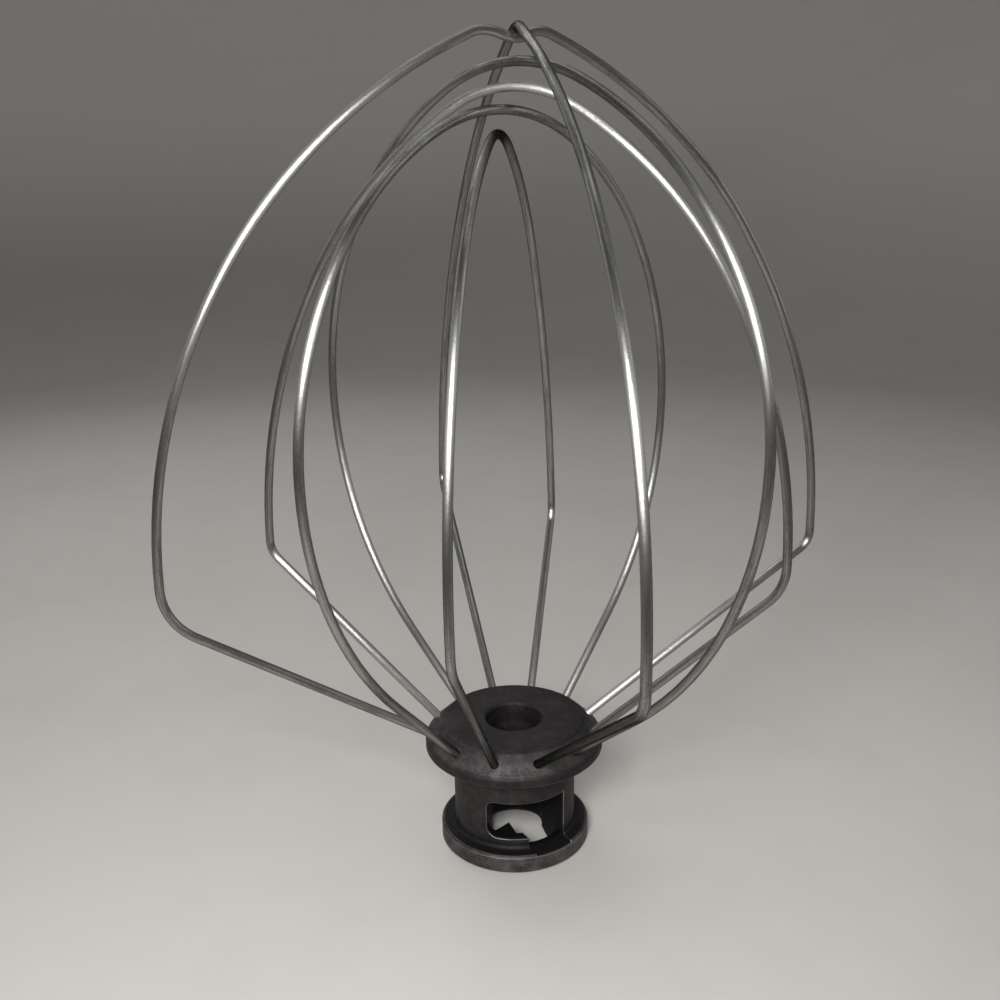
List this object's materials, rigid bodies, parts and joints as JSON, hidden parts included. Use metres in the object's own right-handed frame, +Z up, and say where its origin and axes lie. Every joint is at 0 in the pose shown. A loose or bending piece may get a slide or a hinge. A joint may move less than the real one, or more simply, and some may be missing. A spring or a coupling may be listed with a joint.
{
  "type": "stand mixer wire whisk",
  "caption": "Balloon whisk for a stand mixer: nested steel wire loops set in a dark aluminium hub whose socket and bayonet slot fit the mixer's shaft and pin.",
  "frame": {"origin": "centre of the hub's lower face, on which the whisk stands", "axes": "+Z up along the hub's bore, from the socket's mouth to the crown of the loops; -Y towards the side with the bayonet slot's locked end"},
  "size_m": [0.1294, 0.1256, 0.1763],
  "materials": {
    "hub": "dark oxidised, matte, worn bright at the edges",
    "wire": "satin drawn wire"
  },
  "bodies": {
    "root": {"hub": "hub", "outer_wire_over": "wire", "outer_wire_under": "wire", "third_wire": "wire", "fourth_wire": "wire", "fifth_wire": "wire", "inner_wire": "wire"}
  },
  "joints": []
}
